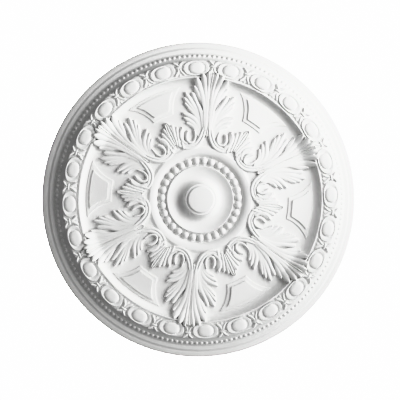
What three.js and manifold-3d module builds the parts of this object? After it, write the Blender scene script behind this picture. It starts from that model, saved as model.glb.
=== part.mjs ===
// A round ceiling rose with acanthus leaves, cast in one piece.
// Millimetres. The flat back lies in the plane z = 0, with its centre at the origin, and the
// ornament hangs below it, so every drop in this file is a distance down from the ceiling.
import * as THREE from "three";
import { mergeVertices } from "three/addons/utils/BufferGeometryUtils.js";
import Module from "manifold-3d";

// Mouldings from the centre outwards: the width of each along the radius.
const bossRadius = 28;
const bossStepWidth = 2.5;
const ledgeWidth = 4.5;
const flareWidth = 13;
const dishWidth = 24;
const dishRimWidth = 4;
const beadDiameter = 17;
const cavettoWidth = 16;
const crestWidth = 2;
const crestWallWidth = 6;
const fieldWidth = 133;
const coveWidth = 18;
const lipWidth = 3;
const eggQuirkWidth = 1.5;
const eggBandWidth = 33;
const eggWallWidth = 4;
const pearlSlopeWidth = 14;
const filletWidth = 8;
const quirkWidth = 4;
const edgeWidth = 12.5;

// The same mouldings: how far each hangs below the ceiling.
const bossDrop = 41.5;
const ledgeDrop = 37;
const dishDrop = 17;
const dishRimDrop = 23.5;
const beadFloorDrop = 18;
const crestDrop = 28.5;
const fieldInnerDrop = 25;
const fieldOuterDrop = 15;
const lipDrop = 35;
const eggBandDrop = 31;
const pearlTopDrop = 24;
const filletDrop = 10;
const edgeDrop = 6.5;
const rimThickness = 1.5;

// Beads round the dish: each stands this far proud of its channel, clear of the channel's sides.
const beadProud = 9.5;
const beadClearance = 1;

// Pearl cord. Its single pearls are too fine to be cut here: the slope that carries them swells
// by their rise instead.
const pearlRise = 3.5;

// Panels: stepped plates between the leaves, with a round clearing about every leaf.
const leafCount = 6;
const panelStart = 79;
const panelBorder = 9;
const clearingStart = 82;
const clearingRadius = 80;
const panelLowRise = 2.2;
const panelHighRise = 5.5;

// Eggs and darts.
const eggsPerLeaf = 4;
const eggLength = 38;
const eggWidth = 23;
const eggRise = 8.5;
const eggGrooveRise = 2;
const shellLengthways = 9;
const shellCrossways = 4.5;
const shellRise = 6;
const dartLength = 27;
const dartWidth = 12;
const dartRise = 5;
const dartWaist = 0.3;

// Leaves. Their tips reach past the lip onto the egg band. A lobe's width and rise at its root
// are shares of what it has farther out. A higher power puts its widest place nearer the tip, and
// a taper of 1 would bring the tip to nothing more than the root's width.
const leafRise = 8;
const leafOverlap = 8;
const scrollRise = 6;
const lobeRootWidth = 0.3;
const lobeRootRise = 0.6;
const lobeSwellPower = 1.4;
const lobeTaper = 0.9;

// How deep the root of an ornament is sunk below the surface that carries it.
const sunk = 4;

// Facets: how many sides a round takes, and how many steps a quarter of one.
const turns = 36;
const middleTurns = 20;
const fieldTurns = 12;
const clearingTurns = 16;
const eggTurns = 8;
const coveSteps = 3;
const arcSteps = 2;

const primer = new THREE.MeshStandardMaterial({ color: 0xf4f4f2, roughness: 0.6, metalness: 0 });

const wasm = await Module();
wasm.setup();

// Radii, each from the one inside it.
const ledgeInner = bossRadius + bossStepWidth;
const flareInner = ledgeInner + ledgeWidth;
const dishInner = flareInner + flareWidth;
const dishRimInner = dishInner + dishWidth;
const beadInner = dishRimInner + dishRimWidth;
const beadRing = beadInner + beadClearance + beadDiameter / 2;
const cavettoInner = beadRing + beadDiameter / 2 + beadClearance;
const crestInner = cavettoInner + cavettoWidth;
const crestOuter = crestInner + crestWidth;
const fieldInner = crestOuter + crestWallWidth;
const fieldOuter = fieldInner + fieldWidth;
const lipInner = fieldOuter + coveWidth;
const lipOuter = lipInner + lipWidth;
const eggInner = lipOuter + eggQuirkWidth;
const eggOuter = eggInner + eggBandWidth;
const eggRing = (eggInner + eggOuter) / 2;
const pearlInner = eggOuter + eggWallWidth;
const filletInner = pearlInner + pearlSlopeWidth;
const quirkInner = filletInner + filletWidth;
const edgeInner = quirkInner + quirkWidth;
const outerRadius = edgeInner + edgeWidth;

// A quarter of an ellipse between two points of the profile, without the first of them.
// It leaves the first point level, or, where leavesPlumb is true, straight down or up.
function quarter(fromRadius, fromDrop, toRadius, toDrop, leavesPlumb, steps) {
  const points = [];
  for (let i = 1; i <= steps; i++) {
    const angle = (i / steps) * (Math.PI / 2);
    const level = leavesPlumb ? 1 - Math.cos(angle) : Math.sin(angle);
    const plumb = leavesPlumb ? Math.sin(angle) : 1 - Math.cos(angle);
    points.push([fromRadius + (toRadius - fromRadius) * level, fromDrop + (toDrop - fromDrop) * plumb]);
  }
  return points;
}

// The middle's profile, from the axis to the foot of the crest's wall, as [radius, drop].
const middleProfile = [
  [0, bossDrop],
  [bossRadius, bossDrop],
  [ledgeInner, ledgeDrop],
  [flareInner, ledgeDrop],
  ...quarter(flareInner, ledgeDrop, dishInner, dishDrop, true, coveSteps),
  [dishInner + dishWidth / 2, dishDrop + (dishRimDrop - dishDrop) / 5],
  [dishRimInner, dishRimDrop],
  [beadInner, beadFloorDrop],
  [cavettoInner, beadFloorDrop],
  ...quarter(cavettoInner, beadFloorDrop, crestInner, crestDrop, false, arcSteps),
  [crestOuter, crestDrop],
  [fieldInner, fieldInnerDrop],
];

// The crest of the pearl cord, square to the middle of the slope that carries it.
const pearlAngle = Math.atan2(pearlTopDrop - filletDrop, pearlSlopeWidth);
const pearlCrest = [
  (pearlInner + filletInner) / 2 + pearlRise * Math.sin(pearlAngle),
  (pearlTopDrop + filletDrop) / 2 + pearlRise * Math.cos(pearlAngle),
];

// The border's profile, from the field to the rose's outer edge.
const borderProfile = [
  [fieldInner, fieldInnerDrop],
  [fieldOuter, fieldOuterDrop],
  ...quarter(fieldOuter, fieldOuterDrop, lipInner, lipDrop, false, coveSteps),
  [lipOuter, lipDrop],
  [eggInner, eggBandDrop],
  [eggOuter, eggBandDrop],
  [pearlInner, pearlTopDrop],
  pearlCrest,
  [filletInner, filletDrop],
  [quirkInner, filletDrop],
  [edgeInner, edgeDrop],
  ...quarter(edgeInner, edgeDrop, outerRadius, rimThickness, false, arcSteps),
];
const profile = [...middleProfile, ...borderProfile.slice(1)];

// How far the bare profile hangs below the ceiling at a radius.
function dropAt(radius) {
  const next = Math.max(1, profile.findIndex((point) => point[0] >= radius));
  const [innerRadius, innerDrop] = profile[next - 1];
  const [outer, outerDrop] = profile[next];
  return innerDrop + ((outerDrop - innerDrop) * (radius - innerRadius)) / (outer - innerRadius);
}

// A closed three.js geometry as a manifold solid.
function solid(geometry) {
  geometry.deleteAttribute("normal");
  geometry.deleteAttribute("uv");
  const merged = mergeVertices(geometry, 1e-4);
  const index = merged.getIndex().array;
  const triVerts = [];
  for (let i = 0; i < index.length; i += 3) {
    const [a, b, c] = [index[i], index[i + 1], index[i + 2]];
    if (a !== b && b !== c && c !== a) {
      triVerts.push(a, b, c);
    }
  }
  const mesh = new wasm.Mesh({
    numProp: 3,
    vertProperties: new Float32Array(merged.getAttribute("position").array),
    triVerts: new Uint32Array(triVerts),
  });
  return new wasm.Manifold(mesh);
}

// A ring or disc turned about the rose's axis from an outline of [radius, drop] pairs, which
// runs outwards below and back inwards above.
function turned(outline, sides) {
  const points = [...outline, outline[0]].map(([radius, drop]) => new THREE.Vector2(radius, -drop));
  const geometry = new THREE.LatheGeometry(points, sides);
  geometry.rotateX(Math.PI / 2);
  geometry.rotateZ(Math.PI / sides);
  return solid(geometry);
}

// Moves every vertex of a geometry to where place(x, y, z) says, and makes it a solid.
function shaped(geometry, place) {
  const position = geometry.getAttribute("position");
  for (let i = 0; i < position.count; i++) {
    position.setXYZ(i, ...place(position.getX(i), position.getY(i), position.getZ(i)));
  }
  return solid(geometry);
}

// A place given across a sector and out from the centre, at a rise above the bare profile.
// The sector's axis is turned by an angle from +Y.
function onRose(across, out, rise, angle) {
  const x = across * Math.cos(angle) - out * Math.sin(angle);
  const y = across * Math.sin(angle) + out * Math.cos(angle);
  return [x, y, -(dropAt(Math.hypot(across, out)) + rise)];
}

// A ridged blade that follows a smooth route over the relief. widthAt and riseAt give its half
// width and its rise at each share of the route.
function blade(route, side, angle, steps, widthAt, riseAt) {
  const points = route.map(([across, out]) => new THREE.Vector3(side * across, out, 0));
  const curve = new THREE.CatmullRomCurve3(points);
  const prism = new THREE.CylinderGeometry(1, 1, 1, 3, steps);
  prism.rotateY(Math.PI);
  return shaped(prism, (x, y, z) => {
    const along = y + 0.5;
    const at = curve.getPoint(along);
    const way = curve.getTangent(along);
    const rise = riseAt(along);
    const width = Math.sign(Math.round(x)) * widthAt(along) * (1 + sunk / rise);
    return onRose(at.x + way.y * width, at.y - way.x * width, z > 0 ? -sunk : rise, angle);
  });
}

// Every repeated ornament stands at equal angles round the rose.
function round(count, offset, make) {
  for (let i = 0; i < count; i++) {
    make(((i + offset) / count) * 2 * Math.PI);
  }
}

// The border stands on a plain disc. The field, a shallow cone, and the middle are turned
// into it, each with its edge buried in what lies round it.
const discDrop = fieldOuterDrop - sunk;
const disc = [[0, discDrop], [fieldOuter - sunk, discDrop]];
const border = turned([...disc, ...borderProfile.slice(1), [outerRadius, 0], [0, 0]], turns);
const fieldFall = (fieldInnerDrop - fieldOuterDrop) / fieldWidth;
const field = turned(
  [
    [crestOuter, fieldInnerDrop + fieldFall * crestWallWidth],
    [lipOuter, fieldOuterDrop - fieldFall * (lipOuter - fieldOuter)],
    [lipOuter, discDrop / 2],
    [crestOuter, discDrop / 2],
  ],
  fieldTurns,
);
const middleFoot = [fieldInner + crestWallWidth, discDrop / 2];
const middle = turned([...middleProfile, middleFoot, [0, middleFoot[1]]], middleTurns);
let rose = border.add(field).add(middle);

// A ring of plates that are what the round clearings leave of it.
function plates(inner, outer, clearing, rise) {
  const outline = [
    [inner, dropAt(inner) + rise],
    [outer, dropAt(outer) + rise],
    [outer, dropAt(outer) - sunk],
    [inner, dropAt(inner) - sunk],
  ];
  let ring = turned(outline, middleTurns);
  round(leafCount, 0, (angle) => {
    const cutter = new THREE.CylinderGeometry(clearing, clearing, 4 * bossDrop, clearingTurns);
    cutter.rotateX(Math.PI / 2);
    cutter.translate(0, fieldInner + clearingStart, 0);
    cutter.rotateZ(angle);
    ring = ring.subtract(solid(cutter));
  });
  return ring;
}

const panelInner = fieldInner + panelStart;
const lowPlates = plates(panelInner, fieldOuter, clearingRadius, panelLowRise);
const highPlates = plates(
  panelInner + panelBorder,
  fieldOuter - panelBorder,
  clearingRadius + panelBorder,
  panelHighRise,
);
rose = rose.add(lowPlates).add(highPlates);

// Beads: as many as the channel holds, each touching the next. A bead of few facets is made
// larger, so that on the whole it fills as much as the round one.
const beadRadius = beadDiameter / 2;
const beadSwell = 1.08;
const beadCount = Math.round((2 * Math.PI * beadRing) / beadDiameter);
round(beadCount, 0, (angle) => {
  const bead = new THREE.IcosahedronGeometry(beadRadius * beadSwell);
  bead.translate(0, beadRing, beadRadius - beadFloorDrop - beadProud);
  bead.rotateZ(angle);
  rose = rose.add(solid(bead));
});

// Eggs, each in its shell: turned round as one, then drawn out along the band. A reach of 1 is
// the egg's edge, and 2 is the shell's.
const eggProfile = [
  [0, eggRise],
  [0.7, eggRise * 0.8],
  [1, eggGrooveRise],
  [1.5, shellRise],
  [2, -sunk],
  [0, -sunk],
];
function drawnOut(part, reach, half, shell) {
  return reach > 0 ? (part / reach) * (half * Math.min(reach, 1) + shell * Math.max(reach - 1, 0)) : 0;
}
round(leafCount * eggsPerLeaf, 0.5, (angle) => {
  const outline = [...eggProfile, eggProfile[0]].map(([reach, rise]) => new THREE.Vector2(reach, -rise));
  const egg = new THREE.LatheGeometry(outline, eggTurns);
  egg.rotateX(Math.PI / 2);
  egg.rotateZ(Math.PI / eggTurns);
  const place = (x, y, z) => {
    const reach = Math.hypot(x, y);
    const across = drawnOut(x, reach, eggLength / 2, shellLengthways);
    const out = drawnOut(y, reach, eggWidth / 2, shellCrossways);
    return onRose(across, eggRing + out, -z, angle);
  };
  rose = rose.add(shaped(egg, place));
});

// Darts between the eggs, one of them on each leaf's axis: narrow at the waist.
round(leafCount * eggsPerLeaf, 0, (angle) => {
  const route = [[0, eggRing - dartLength / 2], [0, eggRing + dartLength / 2]];
  const waisted = (along) => (dartWidth / 2) * (dartWaist + (1 - dartWaist) * (2 * along - 1) ** 2);
  rose = rose.add(blade(route, 1, angle, 2, waisted, () => dartRise));
});

// Leaves, drawn in shares of their length, which runs from the crest's wall to the tip.
const leafLength = lipOuter + leafOverlap - fieldInner;
const grown = (route) => route.map(([across, out]) => [across * leafLength, fieldInner + out * leafLength]);

// A lobe is slender at its root and widest beyond its middle, and its tip curls proud.
function lobe(route, halfWidth, side, angle, steps) {
  const swell = (along) => Math.sin(lobeTaper * Math.PI * along ** lobeSwellPower);
  const broadest = halfWidth * leafLength;
  const widthAt = (along) => broadest * (lobeRootWidth + (1 - lobeRootWidth) * swell(along));
  const riseAt = (along) => leafRise * (lobeRootRise + (1 - lobeRootRise) * along);
  rose = rose.add(blade(grown(route), side, angle, steps, widthAt, riseAt));
}

// A scroll's stem keeps its width all the way.
function scroll(route, halfWidth, side, angle, steps) {
  const widthAt = () => halfWidth * leafLength;
  rose = rose.add(blade(grown(route), side, angle, steps, widthAt, () => scrollRise));
}

round(leafCount, 0, (angle) => {
  lobe([[0, 0.14], [0, 0.6], [0, 1]], 0.075, 1, angle, 3);
  for (const side of [-1, 1]) {
    lobe([[0.05, 0.36], [0.09, 0.65], [0.2, 0.92]], 0.06, side, angle, 3);
    lobe([[0.03, 0.24], [0.13, 0.52], [0.36, 0.72]], 0.085, side, angle, 2);
    lobe([[0.05, 0.16], [0.13, 0.35], [0.35, 0.45]], 0.07, side, angle, 2);
    scroll([[0.02, 0.22], [0.07, 0.05], [0.21, -0.02], [0.4, 0.02]], 0.03, side, angle, 4);
    scroll([[0.11, 0.2], [0.13, 0.06], [0.26, 0.03], [0.34, 0.2]], 0.03, side, angle, 3);
  }
});

// A sprig between every two leaves.
round(leafCount, 0.5, (angle) => {
  lobe([[0, 0.03], [0, 0.2], [0, 0.42]], 0.11, 1, angle, 3);
});

// The joined solid as a three.js mesh.
const { vertProperties, triVerts } = rose.getMesh();
const geometry = new THREE.BufferGeometry();
geometry.setAttribute("position", new THREE.BufferAttribute(vertProperties, 3));
geometry.setIndex(new THREE.BufferAttribute(triVerts, 1));
geometry.computeVertexNormals();
const casting = new THREE.Mesh(geometry, primer);
casting.name = "rose";

const group = new THREE.Group();
group.add(casting);

export default group;
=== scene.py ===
"""A round ceiling rose with acanthus leaves, cast in one piece in rigid foam and primed white."""
import math

import bmesh
import bpy
from mathutils import Matrix, Vector


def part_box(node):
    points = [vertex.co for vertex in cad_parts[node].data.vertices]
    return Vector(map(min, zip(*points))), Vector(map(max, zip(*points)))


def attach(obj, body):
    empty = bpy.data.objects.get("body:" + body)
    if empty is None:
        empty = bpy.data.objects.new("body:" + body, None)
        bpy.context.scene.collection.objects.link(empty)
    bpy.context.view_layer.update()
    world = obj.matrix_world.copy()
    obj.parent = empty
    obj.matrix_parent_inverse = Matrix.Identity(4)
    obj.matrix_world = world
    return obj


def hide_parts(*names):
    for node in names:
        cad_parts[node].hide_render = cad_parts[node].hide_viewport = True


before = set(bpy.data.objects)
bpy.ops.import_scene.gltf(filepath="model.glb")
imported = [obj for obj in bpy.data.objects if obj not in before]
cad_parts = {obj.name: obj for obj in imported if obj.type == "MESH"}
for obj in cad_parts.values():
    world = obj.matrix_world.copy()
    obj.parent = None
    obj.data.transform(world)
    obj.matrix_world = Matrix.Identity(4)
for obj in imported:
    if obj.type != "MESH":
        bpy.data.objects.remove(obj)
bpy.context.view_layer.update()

# Sizes in millimetres, with drops measured down from the ceiling
MM = 0.001
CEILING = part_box("rose")[1].z
OUTER_RADIUS = 350.0
LEAVES = 6

# Middle, from the axis outwards
BOSS_RADIUS, BOSS_DROP = 28.0, 41.5
LEDGE_INNER, FLARE_INNER, LEDGE_DROP = 30.5, 35.0, 37.0
DISH_INNER, DISH_DROP = 50.0, 17.0
DISH_RIM_INNER, DISH_RIM_DROP = 72.0, 24.0
DISH_RIM_OUTER, DISH_RIM_OUTER_DROP = 74.0, 24.8
DISH_STEPS, DISH_STEEPENING = 8, 1.8
CHANNEL_INNER, CHANNEL_OUTER, CHANNEL_DROP = 76.0, 95.0, 18.0
SHOULDER_INNER, SHOULDER_INNER_DROP = 96.5, 20.5
CREST_INNER, CREST_OUTER, CREST_DROP = 111.0, 113.5, 28.5

# Field, cove and lip
FIELD_INNER, FIELD_INNER_DROP = 119.0, 25.0
FIELD_OUTER, FIELD_OUTER_DROP = 252.0, 15.0
LIP_INNER, LIP_OUTER, LIP_DROP = 270.0, 273.0, 35.0

# Border
EGG_INNER, EGG_OUTER, EGG_BAND_DROP = 274.5, 307.5, 31.0
PEARL_INNER, PEARL_TOP_DROP = 311.5, 24.0
FILLET_INNER, FILLET_DROP = 325.5, 10.0
QUIRK_INNER, EDGE_INNER, EDGE_DROP = 333.5, 337.5, 6.5
RIM_THICKNESS = 1.5

# Turning of the profile
TURNS = 288
CORNER_RADIUS, CORNER_STEPS = 0.9, 3
NEARLY_STRAIGHT = math.radians(165)
SIDE_SHARE = 2.2
QUARTER_STEPS = 10
SAME_POINT = 0.001


def quarter(start, end, leaves_plumb):
    """A quarter of an ellipse between two points of the profile, without the first of them."""
    points = []
    for i in range(1, QUARTER_STEPS + 1):
        angle = i / QUARTER_STEPS * math.pi / 2
        level = 1 - math.cos(angle) if leaves_plumb else math.sin(angle)
        plumb = math.sin(angle) if leaves_plumb else 1 - math.cos(angle)
        radius = start[0] + (end[0] - start[0]) * level
        drop = start[1] + (end[1] - start[1]) * plumb
        points.append((radius, drop))
    return points


def dish():
    """The dish, level at the stem and steeper towards its rim, without its first point."""
    points = []
    for i in range(1, DISH_STEPS + 1):
        radius = DISH_INNER + (DISH_RIM_INNER - DISH_INNER) * i / DISH_STEPS
        drop = DISH_DROP + (DISH_RIM_DROP - DISH_DROP) * (i / DISH_STEPS) ** DISH_STEEPENING
        points.append((radius, drop))
    return points


PROFILE = [
    (0, BOSS_DROP),
    (BOSS_RADIUS, BOSS_DROP),
    (LEDGE_INNER, LEDGE_DROP),
    (FLARE_INNER, LEDGE_DROP),
    *quarter((FLARE_INNER, LEDGE_DROP), (DISH_INNER, DISH_DROP), True),
    *dish(),
    (DISH_RIM_OUTER, DISH_RIM_OUTER_DROP),
    (CHANNEL_INNER, CHANNEL_DROP),
    (CHANNEL_OUTER, CHANNEL_DROP),
    *quarter((SHOULDER_INNER, SHOULDER_INNER_DROP), (CREST_INNER, CREST_DROP), True),
    (CREST_OUTER, CREST_DROP),
    (FIELD_INNER, FIELD_INNER_DROP),
    (FIELD_OUTER, FIELD_OUTER_DROP),
    *quarter((FIELD_OUTER, FIELD_OUTER_DROP), (LIP_INNER, LIP_DROP), False),
    (LIP_OUTER, LIP_DROP),
    (EGG_INNER, EGG_BAND_DROP),
    (EGG_OUTER, EGG_BAND_DROP),
    (PEARL_INNER, PEARL_TOP_DROP),
    (FILLET_INNER, FILLET_DROP),
    (QUIRK_INNER, FILLET_DROP),
    (EDGE_INNER, EDGE_DROP),
    *quarter((EDGE_INNER, EDGE_DROP), (OUTER_RADIUS, RIM_THICKNESS), False),
    (OUTER_RADIUS, 0),
    (0, 0),
]


def softened(points):
    """The outline with each corner rounded, by a short curve that is tangent to both sides."""
    soft = [points[0]]
    for before, corner, after in zip(points, points[1:], points[2:]):
        before, corner, after = Vector(before), Vector(corner), Vector(after)
        back, on = before - corner, after - corner
        if back.angle(on) > NEARLY_STRAIGHT:
            soft.append(tuple(corner))
            continue
        start = corner + back.normalized() * min(CORNER_RADIUS, back.length / SIDE_SHARE)
        end = corner + on.normalized() * min(CORNER_RADIUS, on.length / SIDE_SHARE)
        for i in range(CORNER_STEPS + 1):
            t = i / CORNER_STEPS
            soft.append(tuple(start * (1 - t) ** 2 + corner * 2 * t * (1 - t) + end * t ** 2))
    return soft + [points[-1]]


def drop_at(radius):
    """How far the bare profile hangs below the ceiling at a radius."""
    for (inner, inner_drop), (outer, outer_drop) in zip(PROFILE, PROFILE[1:]):
        if inner <= radius <= outer and outer > inner:
            return inner_drop + (outer_drop - inner_drop) * (radius - inner) / (outer - inner)
    return RIM_THICKNESS


def field_drop(radius):
    """The field's cone, run on past both of its edges."""
    fall = (FIELD_OUTER_DROP - FIELD_INNER_DROP) / (FIELD_OUTER - FIELD_INNER)
    return FIELD_INNER_DROP + fall * (radius - FIELD_INNER)


# Primer
TOOTH_PER_METRE, CLOUDS_PER_METRE = 900.0, 9.0
TOOTH_DEPTH, TOOTH_STRENGTH = 0.0004, 0.12
DULLER_WHITE, CLEARER_WHITE = (0.86, 0.86, 0.853, 1), (0.90, 0.90, 0.897, 1)
LEAST_ROUGHNESS, ROUGHNESS_SPREAD = 0.52, 0.1
PRIMER_SHEEN = 0.35
MIX_FACTOR, MIX_FIRST, MIX_SECOND, MIX_COLOUR = 0, 6, 7, 2


class Sock:
    """A shader value that can be used in sums: each operation adds its Math node."""

    def __init__(self, shader, socket):
        self.shader = shader
        self.socket = socket

    def _math(self, operation, *values):
        return self.shader.node("ShaderNodeMath", {"operation": operation}, *values)

    def __add__(self, other):
        return self._math("ADD", self, other)

    __radd__ = __add__

    def __mul__(self, other):
        return self._math("MULTIPLY", self, other)

    __rmul__ = __mul__


class Shader:
    """The nodes of one material."""

    def __init__(self, name):
        self.material = bpy.data.materials.new(name)
        self.material.use_nodes = True
        self.tree = self.material.node_tree
        self.surface = self.tree.nodes["Principled BSDF"]

    def node(self, kind, settings, *values, output=0, **named):
        made = self.tree.nodes.new(kind)
        for key, value in settings.items():
            setattr(made, key, value)
        for key, value in [*enumerate(values), *named.items()]:
            self.feed(made.inputs[key], value)
        return Sock(self, made.outputs[output])

    def feed(self, socket, value):
        if isinstance(value, Sock):
            self.tree.links.new(value.socket, socket)
        else:
            socket.default_value = value


def primed_foam():
    """Smooth rigid foam under a matt white primer, with the faint tooth that a sprayed coat has."""
    shader = Shader("primed_foam")
    place = shader.node("ShaderNodeTexCoord", {}, output="Object")
    tooth = shader.node("ShaderNodeTexNoise", {}, Vector=place, Scale=TOOTH_PER_METRE, Detail=2.0)
    cloud = shader.node("ShaderNodeTexNoise", {}, Vector=place, Scale=CLOUDS_PER_METRE, Detail=3.0)
    white = shader.node("ShaderNodeMix", {"data_type": "RGBA"}, output=MIX_COLOUR)
    mixed = white.socket.node.inputs
    shader.feed(mixed[MIX_FACTOR], cloud)
    shader.feed(mixed[MIX_FIRST], DULLER_WHITE)
    shader.feed(mixed[MIX_SECOND], CLEARER_WHITE)
    bump = shader.node("ShaderNodeBump", {}, Strength=TOOTH_STRENGTH, Distance=TOOTH_DEPTH, Height=tooth)
    surface = shader.surface.inputs
    shader.feed(surface["Base Color"], white)
    shader.feed(surface["Normal"], bump)
    shader.feed(surface["Roughness"], LEAST_ROUGHNESS + ROUGHNESS_SPREAD * cloud)
    surface["Specular IOR Level"].default_value = PRIMER_SHEEN
    return shader.material


PRIMER = primed_foam()


def piece(name, form, sharp=40.0):
    """A form in millimetres becomes a piece of the rose. Edges past the sharp angle stay crisp."""
    bmesh.ops.scale(form, vec=(MM, MM, MM), verts=form.verts)
    bmesh.ops.translate(form, vec=(0, 0, CEILING), verts=form.verts)
    mesh = bpy.data.meshes.new(name)
    form.to_mesh(mesh)
    form.free()
    mesh.shade_smooth()
    mesh.set_sharp_from_angle(angle=math.radians(sharp))
    mesh.materials.append(PRIMER)
    made = bpy.data.objects.new(name, mesh)
    bpy.context.scene.collection.objects.link(made)
    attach(made, "root")
    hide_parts("rose")


def only_verts(geometry):
    return [part for part in geometry if isinstance(part, bmesh.types.BMVert)]


def turned(form, angle, verts=None):
    """Turns a form, or some of its points, about the rose's axis."""
    turn = Matrix.Rotation(angle, 3, "Z")
    bmesh.ops.rotate(form, cent=(0, 0, 0), matrix=turn, verts=verts or form.verts)
    return form


def repeated(form, count):
    """The form and its copies at equal angles round the rose."""
    first = list(form.verts) + list(form.edges) + list(form.faces)
    for i in range(1, count):
        copy = bmesh.ops.duplicate(form, geom=first)["geom"]
        turned(form, 2 * math.pi * i / count, only_verts(copy))
    return form


def spun(form, line, turns, same_point):
    """Turns a line of points that starts and ends on the axis into a closed skin."""
    edges = [form.edges.new(pair) for pair in zip(line, line[1:])]
    bmesh.ops.spin(form, geom=line + edges, cent=(0, 0, 0), axis=(0, 0, 1), dvec=(0, 0, 0),
                   angle=2 * math.pi, steps=turns, use_merge=True)
    bmesh.ops.remove_doubles(form, verts=form.verts, dist=same_point)
    bmesh.ops.recalc_face_normals(form, faces=form.faces)


def mouldings():
    """The plain mouldings and the flat back, turned about the axis as one."""
    form = bmesh.new()
    line = [form.verts.new((radius, 0, -drop)) for radius, drop in softened(PROFILE)]
    spun(form, line, TURNS, SAME_POINT)
    piece("mouldings", form)


# Panels of two steps, with flanks that are arcs about a point on each leaf's axis
CLEARING_CENTRE, CLEARING_RADIUS = 201.0, 80.0
PANEL_INNER, PANEL_BORDER = 198.0, 9.0
LOW_PANEL_OUTER, HIGH_PANEL_OUTER = FIELD_OUTER + 1, FIELD_OUTER - 6
LOW_PANEL_RISE, HIGH_PANEL_RISE, PANEL_SUNK = 2.2, 5.5, 1.0
PANEL_ACROSS, PANEL_OUTWARDS = 16, 14
PANEL_EDGE_RADIUS, PANEL_EDGE_STEPS = 0.8, 3


def flank_angle(radius, clearing):
    """How far from the panel's axis its flank is, as an angle, at a radius."""
    cosine = (radius ** 2 + CLEARING_CENTRE ** 2 - clearing ** 2) / (2 * radius * CLEARING_CENTRE)
    return math.pi / LEAVES - math.acos(cosine)


def plate(form, inner, outer, clearing, foot, rise):
    """One plate with its axis on +Y. Its face follows the field at a rise above it, and its walls
    go down to the foot's height above the field. The edges round the face are given back."""
    face = bmesh.ops.create_grid(form, x_segments=PANEL_ACROSS, y_segments=PANEL_OUTWARDS, size=0.5)["verts"]
    own = set(face)
    rim = [edge for edge in form.edges if edge.is_boundary and edge.verts[0] in own]
    walls = bmesh.ops.extrude_edge_only(form, edges=rim)["geom"]
    for verts, height in ((face, rise), (only_verts(walls), foot)):
        for vert in verts:
            radius = inner + (outer - inner) * (vert.co.y + 0.5)
            angle = 2 * vert.co.x * flank_angle(radius, clearing)
            drop = field_drop(radius) + height
            vert.co = (radius * math.sin(angle), radius * math.cos(angle), -drop)
    return rim


def panels():
    form = bmesh.new()
    low_rim = plate(form, PANEL_INNER, LOW_PANEL_OUTER, CLEARING_RADIUS, -PANEL_SUNK, LOW_PANEL_RISE)
    high_rim = plate(form, PANEL_INNER + PANEL_BORDER, HIGH_PANEL_OUTER, CLEARING_RADIUS + PANEL_BORDER,
                     LOW_PANEL_RISE - PANEL_SUNK, HIGH_PANEL_RISE)
    bmesh.ops.bevel(form, geom=low_rim + high_rim, offset=PANEL_EDGE_RADIUS, segments=PANEL_EDGE_STEPS,
                    profile=0.5, affect="EDGES", material=-1)
    bmesh.ops.recalc_face_normals(form, faces=form.faces)
    piece("panels", turned(repeated(form, LEAVES), math.pi / LEAVES), sharp=50)


# Beads in their channel
BEAD_COUNT, BEAD_DIAMETER, BEAD_PROUD = 31, 16.4, 9.5
BEAD_MERIDIANS, BEAD_RINGS = 28, 16


def beads():
    form = bmesh.new()
    ring = (CHANNEL_INNER + CHANNEL_OUTER) / 2
    drop = CHANNEL_DROP + BEAD_PROUD - BEAD_DIAMETER / 2
    place = Matrix.Translation((0, ring, -drop))
    bmesh.ops.create_uvsphere(form, u_segments=BEAD_MERIDIANS, v_segments=BEAD_RINGS,
                              radius=BEAD_DIAMETER / 2, matrix=place)
    piece("beads", repeated(form, BEAD_COUNT))


# Pearl cord on the outward slope
PEARL_COUNT, PEARL_DIAMETER, PEARL_PROUD = 180, 9.8, 3.3


def pearls():
    form = bmesh.new()
    slope = math.atan2(PEARL_TOP_DROP - FILLET_DROP, FILLET_INNER - PEARL_INNER)
    depth = PEARL_DIAMETER / 2 - PEARL_PROUD
    ring = (PEARL_INNER + FILLET_INNER) / 2 - depth * math.sin(slope)
    drop = (PEARL_TOP_DROP + FILLET_DROP) / 2 - depth * math.cos(slope)
    place = Matrix.Translation((0, ring, -drop))
    bmesh.ops.create_icosphere(form, subdivisions=2, radius=PEARL_DIAMETER / 2, matrix=place)
    piece("pearls", repeated(form, PEARL_COUNT), sharp=180)


# Eggs in their shells, where a reach of 1 is the egg's edge and 2 is the shell's
EGG_COUNT, EGG_RING = 24, 291.5
EGG_HALF_LENGTH, EGG_HALF_WIDTH, EGG_SQUARENESS = 17.0, 13.2, 2.3
SHELL_LENGTHWAYS, SHELL_CROSSWAYS = 12.5, 3.4
EGG_RISE, GROOVE_RISE, STEP_FOOT_RISE, STEP_TOP_RISE, SHELL_RISE = 8.5, 4.3, 5.0, 5.7, 6.2
STEP_REACH, WALL_REACH, SHELL_REACH = 1.35, 1.85, 2.0
WALL_SUNK, WALL_STEEPENING, EGG_FOOT = 1.5, 2.2, 3.0
DOME_STEPS, WALL_STEPS, EGG_TURNS = 12, 5, 48


def egg_rise(reach):
    """The egg's flat dome, the groove round it, a fine step, and the shell with its outer wall."""
    if reach <= 1:
        return GROOVE_RISE + (EGG_RISE - GROOVE_RISE) * math.sqrt(1 - reach ** 4)
    if reach <= STEP_REACH:
        share = (reach - 1) / (STEP_REACH - 1)
        return GROOVE_RISE + (STEP_FOOT_RISE - GROOVE_RISE) * share
    if reach <= WALL_REACH:
        share = (reach - STEP_REACH) / (WALL_REACH - STEP_REACH)
        return STEP_TOP_RISE + (SHELL_RISE - STEP_TOP_RISE) * share
    share = (reach - WALL_REACH) / (SHELL_REACH - WALL_REACH)
    return SHELL_RISE - (SHELL_RISE + WALL_SUNK) * share ** WALL_STEEPENING


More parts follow.
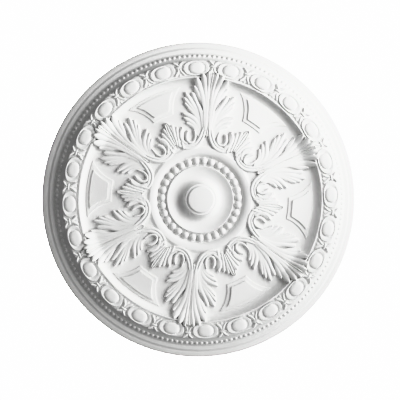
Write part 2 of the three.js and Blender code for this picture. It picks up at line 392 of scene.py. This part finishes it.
def egg_place(point):
    """A point of the turned egg goes to its place in the oval form, bent along the border."""
    x, y, z = point
    reach = math.hypot(x, y)
    if reach > 0:
        x, y = x / reach, y / reach
        fullness = (abs(x) ** EGG_SQUARENESS + abs(y) ** EGG_SQUARENESS) ** (-1 / EGG_SQUARENESS)
        inside, outside = min(reach, 1), max(reach - 1, 0)
        x *= fullness * (EGG_HALF_LENGTH * inside + SHELL_LENGTHWAYS * outside)
        y *= fullness * (EGG_HALF_WIDTH * inside + SHELL_CROSSWAYS * outside)
    angle, radius = x / EGG_RING, EGG_RING + y
    return radius * math.sin(angle), radius * math.cos(angle), z - EGG_BAND_DROP


def eggs():
    form = bmesh.new()
    dome = [math.sin(i / DOME_STEPS * math.pi / 2) for i in range(DOME_STEPS + 1)]
    shell = [1.06, 1.2, STEP_REACH - 0.01, STEP_REACH + 0.02, 1.5, 1.7, WALL_REACH]
    wall = [WALL_REACH + (SHELL_REACH - WALL_REACH) * i / WALL_STEPS for i in range(1, WALL_STEPS + 1)]
    line = [form.verts.new((reach, 0, -egg_rise(reach))) for reach in dome + shell + wall]
    line.append(form.verts.new((SHELL_REACH, 0, EGG_FOOT)))
    line.append(form.verts.new((0, 0, EGG_FOOT)))
    spun(form, line, EGG_TURNS, SAME_POINT / 2)
    for vert in form.verts:
        vert.co = egg_place(vert.co)
    piece("eggs", turned(repeated(form, EGG_COUNT), math.pi / EGG_COUNT))


# Way of the leaves up the cove and over the lip
LIFT_START, LIFT_END, LIFT_DROP = 243.0, 279.0, 35.5


def leaf_drop(radius):
    """What carries the leaves: the field, and then a smooth way up the cove and over the lip."""
    share = min(max((radius - LIFT_START) / (LIFT_END - LIFT_START), 0), 1)
    lift = share * share * (3 - 2 * share)
    inner = field_drop(min(radius, LIFT_END))
    return inner + (LIFT_DROP - inner) * lift


def egg_band(_radius):
    """What carries the darts: the level band under the eggs."""
    return EGG_BAND_DROP


# Sections of a blade: how full it is from one edge, -1, to the other, 1
def swelling(s):
    """A soft swelling with plumb edges, so that the creases lie where two of them meet."""
    edge = 0.56
    return edge + (1 - edge) * (1 - s * s)


def rounded(s):
    """A round strand with low plumb edges."""
    edge = 0.4
    return edge + (1 - edge) * math.sqrt(1 - 0.98 * s * s)


def ribbed(s):
    """A midrib with a hollow at either side, and a hem that falls to the edge."""
    hem, hollow, edge = 0.9, 0.2, 0.7
    outwards = abs(s)
    if outwards < hem:
        return 1 - hollow + hollow * math.cos(outwards * 2 * math.pi / hem)
    return edge + (1 - edge) * (1 - outwards) / (1 - hem)


def reeded(s):
    """Two rounded strands side by side."""
    crease, middle, half_width = 0.6, 0.5, 0.52
    off_middle = (abs(s) - middle) / half_width
    return crease + (1 - crease) * math.sqrt(max(0, 1 - off_middle ** 2))


# Blades
BLADE_ACROSS, BLADE_ALONG = 12, 22
BLADE_SUNK = 3.0
TIP_CROWDING = 1.3
WAY_STEP = 0.01
LEVEL_RELIEF, LEVEL_FADE = 0.15, 0.35


def through(values, share):
    """A smooth curve through values at equal shares, as a Catmull-Rom spline."""
    place = min(max(share, 0), 1) * (len(values) - 1)
    i = min(int(place), len(values) - 2)
    f = place - i
    a, b, c, d = (values[min(max(k, 0), len(values) - 1)] for k in (i - 1, i, i + 1, i + 2))
    bend, twist = 2 * a - 5 * b + 4 * c - d, 3 * b - a - 3 * c + d
    return 0.5 * (2 * b + (c - a) * f + bend * f * f + twist * f ** 3)


def narrowing(share, tip, root):
    """How wide a blade is left by its two ends, which close as quarters of an ellipse."""
    left = 1
    if share > 1 - tip:
        left *= math.sqrt(max(0, 1 - ((share - 1 + tip) / tip) ** 2))
    if share < root:
        left *= math.sqrt(max(0, 1 - ((root - share) / root) ** 2))
    return left


def relief(share, level):
    """How much of its section a blade shows: little as far out as level, and then all of it."""
    if not level:
        return 1
    return LEVEL_RELIEF + (1 - LEVEL_RELIEF) * min(max((share - level) / LEVEL_FADE, 0), 1)


def blade(form, route, half_widths, rises, section, side=1, tip=0.22, root=0.1, level=0.0, base=leaf_drop):
    """A closed blade that follows a smooth route over the relief. half_widths and rises are given
    at equal shares of the route, side is -1 for its mirror image, and base is what carries it.
    The grid's columns run round the blade, from the edge on its own side, so its faces look out."""
    route = [Vector(point) for point in route]
    around = BLADE_ACROSS + 3
    made = bmesh.ops.create_grid(form, x_segments=around, y_segments=BLADE_ALONG, size=0.5)["verts"]
    for vert in made:
        column = round((vert.co.x + 0.5) * around) % around
        share = 1 - (0.5 - vert.co.y) ** TIP_CROWDING
        at = through(route, share)
        way = (through(route, share + WAY_STEP) - through(route, share - WAY_STEP)).normalized()
        width = through(half_widths, share) * narrowing(share, tip, root)
        upper = column <= BLADE_ACROSS
        if upper:
            s = side * math.sin((0.5 - column / BLADE_ACROSS) * math.pi)
        else:
            s = -side if column == BLADE_ACROSS + 1 else side
        x = at.x + way.y * width * s
        y = at.y - way.x * width * s
        radius = math.hypot(x, y)
        if upper:
            fullness = 1 - (1 - section(s)) * relief(share, level)
            drop = base(radius) + through(rises, share) * fullness
        else:
            drop = drop_at(radius) - BLADE_SUNK
        vert.co = (side * x, y, -drop)
    bmesh.ops.remove_doubles(form, verts=made, dist=SAME_POINT)


# Strands of one side of a leaf: route, half widths and rises, each from the root to the tip
FAN = [
    ([(3, 158), (4, 213), (5.5, 249), (10, 283)], [2.6, 3, 4.4, 5.2], [8.5, 9, 9, 7.5]),
    ([(4, 152), (6, 210), (12, 245), (23, 278)], [3.2, 4, 6.6, 6.6], [8.5, 9, 9, 8]),
    ([(5, 150), (10.5, 204), (19.5, 235), (36, 268)], [3.5, 3.7, 7.8, 6.8], [8, 9, 9, 8]),
    ([(6, 160), (11.5, 206), (25, 232), (38, 250)], [3, 2.2, 6.6, 4.6], [7, 8, 8, 7.5]),
]
MIDDLE_LOBE = [
    ([(7, 150), (15.2, 190), (28.7, 213), (40.5, 235)], [4, 4.4, 4.4, 6.2], [7, 7.5, 8, 7.5]),
    ([(8, 150), (22, 188), (38.5, 211), (55.5, 234)], [4, 5.4, 6, 4.6], [5.5, 6, 7.5, 8]),
    ([(9, 150), (25, 187), (42, 206), (58, 222)], [4, 5, 5.4, 4], [5.5, 6, 7, 7.5]),
    ([(10, 150), (26, 184), (41, 198), (55, 210.5)], [3.8, 4.6, 4.8, 3.8], [5.5, 6, 6.5, 7]),
    ([(10.5, 150), (22, 180), (34, 191.5), (47, 200)], [3.6, 4, 4.4, 3.4], [5.5, 6, 6, 6.5]),
    ([(11, 150), (18, 177), (26, 188), (36, 193)], [3.2, 3.2, 3.4, 3], [5.5, 6, 6, 6]),
]
LOW_LOBE = [
    ([(11, 134), (15.5, 156), (30, 176.5), (58, 187.5)], [4, 4.4, 6.2, 4.6], [5, 5.5, 6.5, 7.5]),
    ([(13, 134), (21, 156), (35, 169), (55, 177.5)], [3.6, 4.6, 5.2, 3.8], [5, 5.5, 6, 7]),
    ([(16, 138), (24, 154), (34.5, 162.5), (47.5, 166.5)], [3, 4.2, 4.6, 3.6], [5, 5.5, 5.5, 6]),
]
LOBE_LEVEL = 0.42


def scrolls(form, side):
    """The stem that winds round the leaf's foot, and the two curls inside it."""
    stem = [(6, 166), (8, 150), (12, 136), (18.5, 124), (28, 116.5),
            (41, 113), (53, 116), (62.5, 123.5), (68, 134), (69.5, 147)]
    stem_widths = [4.4, 5.6, 6.2, 6.2, 6.2, 6, 5.6, 4.8, 4, 3.3]
    stem_rises = [8, 8, 7.5, 6.5, 5.5, 5, 5.5, 6, 6.5, 6.5]
    blade(form, stem, stem_widths, stem_rises, reeded, side, tip=0.1)
    outer_curl = [(40, 119), (51, 124.5), (57.5, 134.5), (58, 145.5), (54.5, 152)]
    blade(form, outer_curl, [2.7, 3.8, 4.4, 4.2, 3.3], [6.5, 7, 7.5, 8, 8], rounded, side)
    inner_curl = [(28, 152.5), (24.5, 138), (28, 126.5), (36, 123.5), (43, 129.5), (44.5, 140), (41.5, 149.5)]
    inner_widths = [2.8, 2.8, 2.8, 3, 3.8, 4.4, 4.2]
    inner_rises = [8, 7.5, 7, 7.5, 8, 8.5, 8.5]
    blade(form, inner_curl, inner_widths, inner_rises, rounded, side)


def leaves():
    """Six acanthus leaves, each a midrib with a fan, two serrated lobes and scrolls to either side."""
    form = bmesh.new()
    midrib = [(0, 139), (0, 185), (0, 225), (0, 281)]
    blade(form, midrib, [7, 5.5, 4, 5.5], [7, 9, 9, 7.5], ribbed, tip=0.06)
    for side in (1, -1):
        for route, half_widths, rises in FAN + MIDDLE_LOBE + LOW_LOBE:
            blade(form, route, half_widths, rises, swelling, side, level=LOBE_LEVEL)
        scrolls(form, side)
    master = bpy.data.meshes.new("leaf")
    form.to_mesh(master)
    form.free()
    for i in range(LEAVES):
        form = bmesh.new()
        form.from_mesh(master)
        piece(f"leaf_{i + 1}", turned(form, 2 * math.pi * i / LEAVES), sharp=55)
    bpy.data.meshes.remove(master)


def sprigs():
    """A small sprig between the feet of each two leaves."""
    form = bmesh.new()
    blade(form, [(0, 130), (0, 158), (0, 186)], [3.5, 6, 6], [6.5, 8, 8], ribbed, tip=0.4)
    for side in (-1, 1):
        blade(form, [(3, 128), (6, 152), (11, 176.5)], [2.8, 4.4, 4.6], [6, 7.5, 7.5], swelling, side)
        blade(form, [(6, 124), (11, 147), (18.5, 169)], [3, 4.4, 4.6], [6, 7, 7], swelling, side)
        blade(form, [(12, 117), (18, 140), (30, 163.5)], [3.2, 4.6, 4.8], [6, 7, 7], swelling, side)
    piece("sprigs", turned(repeated(form, LEAVES), math.pi / LEAVES), sharp=55)


def darts():
    """A dart between each two eggs: a web, a knot across it, four arms and a point."""
    form = bmesh.new()
    blade(form, [(0, 277), (0, 292), (0, 306)], [9, 4.5, 9], [3, 3.5, 3], rounded, base=egg_band)
    knot = [(-6.5, 296), (0, 296.3), (6.5, 296)]
    blade(form, knot, [2.6, 3, 2.6], [6, 7, 6], rounded, tip=0.25, root=0.25, base=egg_band)
    for side in (-1, 1):
        outer_arm = [(1, 299), (4, 303), (11, 308)]
        blade(form, outer_arm, [2.2, 2.6, 2.2], [5.5, 6, 6], rounded, side, base=egg_band)
        inner_arm = [(1.5, 293), (4, 286), (11, 277)]
        blade(form, inner_arm, [2.2, 2.8, 2.8], [5.5, 6, 5.5], rounded, side, base=egg_band)
    blade(form, [(0, 282), (0, 276)], [2, 2.5], [4, 4], rounded, tip=0.3, root=0.3, base=egg_band)
    piece("darts", repeated(form, EGG_COUNT), sharp=55)


mouldings()
panels()
beads()
pearls()
eggs()
darts()
leaves()
sprigs()

# Camera below the rose, with its place in the photograph in pixels and distances in metres
PHOTO_SIDE, ROSE_PIXELS = 400, 315.0
OFF_CENTRE = (1.1, -0.5)
LEAF_ANGLE = math.radians(84.5)
TILT = math.radians(7.0)
DISTANCE = 10.0
SENSOR_WIDTH = 36

# Floor, in metres
FLOOR_DROP, FLOOR_SIZE = 10.5, 40.0
FLOOR_WHITE, FLOOR_ROUGHNESS, FLOOR_GLOW = (0.8, 0.8, 0.8, 1), 0.8, 1.5

# Lights, with azimuth and elevation in degrees, then distance in metres
KEY_SIDE, KEY_STRENGTH, KEY_SPREAD = (3, 34, 3.0), 1.68, math.radians(58)
NEAR_SIDE, NEAR_WATTS, NEAR_SIZE = (40, 44, 0.74), 1.0, 0.3
BACK_PLACE, BACK_WATTS, BACK_SIZE = (1.2, -1.2, 2.6), 60, 2.0
WHITE = (1, 1, 1, 1)
SEEN_STRENGTH, ROOM_STRENGTH = 6.0, 0.19

down = Vector((0, 0, -1))
right = Vector((-math.sin(LEAF_ANGLE), math.cos(LEAF_ANGLE), 0))
up = Vector((math.cos(LEAF_ANGLE), math.sin(LEAF_ANGLE), 0))


def floor():
    """A pale floor that the camera alone sees: it neither shades nor lights the rose."""
    form = bmesh.new()
    place = Matrix.Translation((0, 0, -FLOOR_DROP))
    bmesh.ops.create_grid(form, x_segments=1, y_segments=1, size=FLOOR_SIZE, matrix=place)
    mesh = bpy.data.meshes.new("floor")
    form.to_mesh(mesh)
    form.free()
    shader = Shader("pale_floor")
    surface = shader.surface.inputs
    surface["Base Color"].default_value = FLOOR_WHITE
    surface["Roughness"].default_value = FLOOR_ROUGHNESS
    surface["Emission Color"].default_value = WHITE
    surface["Emission Strength"].default_value = FLOOR_GLOW
    mesh.materials.append(shader.material)
    made = bpy.data.objects.new("floor", mesh)
    made.visible_shadow = False
    made.visible_diffuse = False
    made.visible_glossy = False
    bpy.context.scene.collection.objects.link(made)


def camera():
    """A long lens from below, tilted a little off the rose's axis, as the photograph is."""
    millimetres_per_pixel = 2 * OUTER_RADIUS / ROSE_PIXELS
    target = (right * OFF_CENTRE[0] + up * OFF_CENTRE[1]) * millimetres_per_pixel * MM
    back = down * math.cos(TILT) - right * math.sin(TILT)
    across = right * math.cos(TILT) + down * math.sin(TILT)
    data = bpy.data.cameras.new("camera")
    data.sensor_width = SENSOR_WIDTH
    data.lens = SENSOR_WIDTH * DISTANCE / (PHOTO_SIDE * millimetres_per_pixel * MM)
    made = bpy.data.objects.new("camera", data)
    turn = Matrix((across, up, back)).transposed().to_4x4()
    made.matrix_world = Matrix.Translation(target + back * DISTANCE) @ turn
    bpy.context.scene.collection.objects.link(made)
    bpy.context.scene.camera = made


def from_side(azimuth, elevation, distance):
    """A place seen from the rose: the azimuth runs from the picture's right towards its top."""
    azimuth, elevation = math.radians(azimuth), math.radians(elevation)
    level = right * math.cos(azimuth) + up * math.sin(azimuth)
    return (level * math.cos(elevation) + down * math.sin(elevation)) * distance


def lamp(name, kind, place, energy, **settings):
    data = bpy.data.lights.new(name, kind)
    data.energy = energy
    for key, value in settings.items():
        setattr(data, key, value)
    made = bpy.data.objects.new(name, data)
    made.matrix_world = Matrix.Translation(place) @ place.to_track_quat("Z", "Y").to_matrix().to_4x4()
    made.visible_camera = False
    bpy.context.scene.collection.objects.link(made)


def lights():
    """A broad light from the right, a near one that fades across the rose, and one for its back."""
    lamp("key", "SUN", from_side(*KEY_SIDE), KEY_STRENGTH, angle=KEY_SPREAD)
    lamp("near", "AREA", from_side(*NEAR_SIDE), NEAR_WATTS, shape="DISK", size=NEAR_SIZE)
    lamp("back", "AREA", Vector(BACK_PLACE), BACK_WATTS, shape="DISK", size=BACK_SIZE)


def room():
    """White all round: bright where the camera sees it, and soft where it lights the rose."""
    world = bpy.data.worlds.new("white_room")
    world.use_nodes = True
    nodes, links = world.node_tree.nodes, world.node_tree.links
    seen, lit = nodes["Background"], nodes.new("ShaderNodeBackground")
    for background, strength in ((seen, SEEN_STRENGTH), (lit, ROOM_STRENGTH)):
        background.inputs["Color"].default_value = WHITE
        background.inputs["Strength"].default_value = strength
    ray = nodes.new("ShaderNodeLightPath")
    mix = nodes.new("ShaderNodeMixShader")
    links.new(ray.outputs["Is Camera Ray"], mix.inputs[0])
    links.new(lit.outputs[0], mix.inputs[1])
    links.new(seen.outputs[0], mix.inputs[2])
    links.new(mix.outputs[0], nodes["World Output"].inputs["Surface"])
    scene = bpy.context.scene
    scene.world = world
    scene.view_settings.view_transform = "Khronos PBR Neutral"
    scene.view_settings.look = "Very High Contrast"


floor()
camera()
lights()
room()
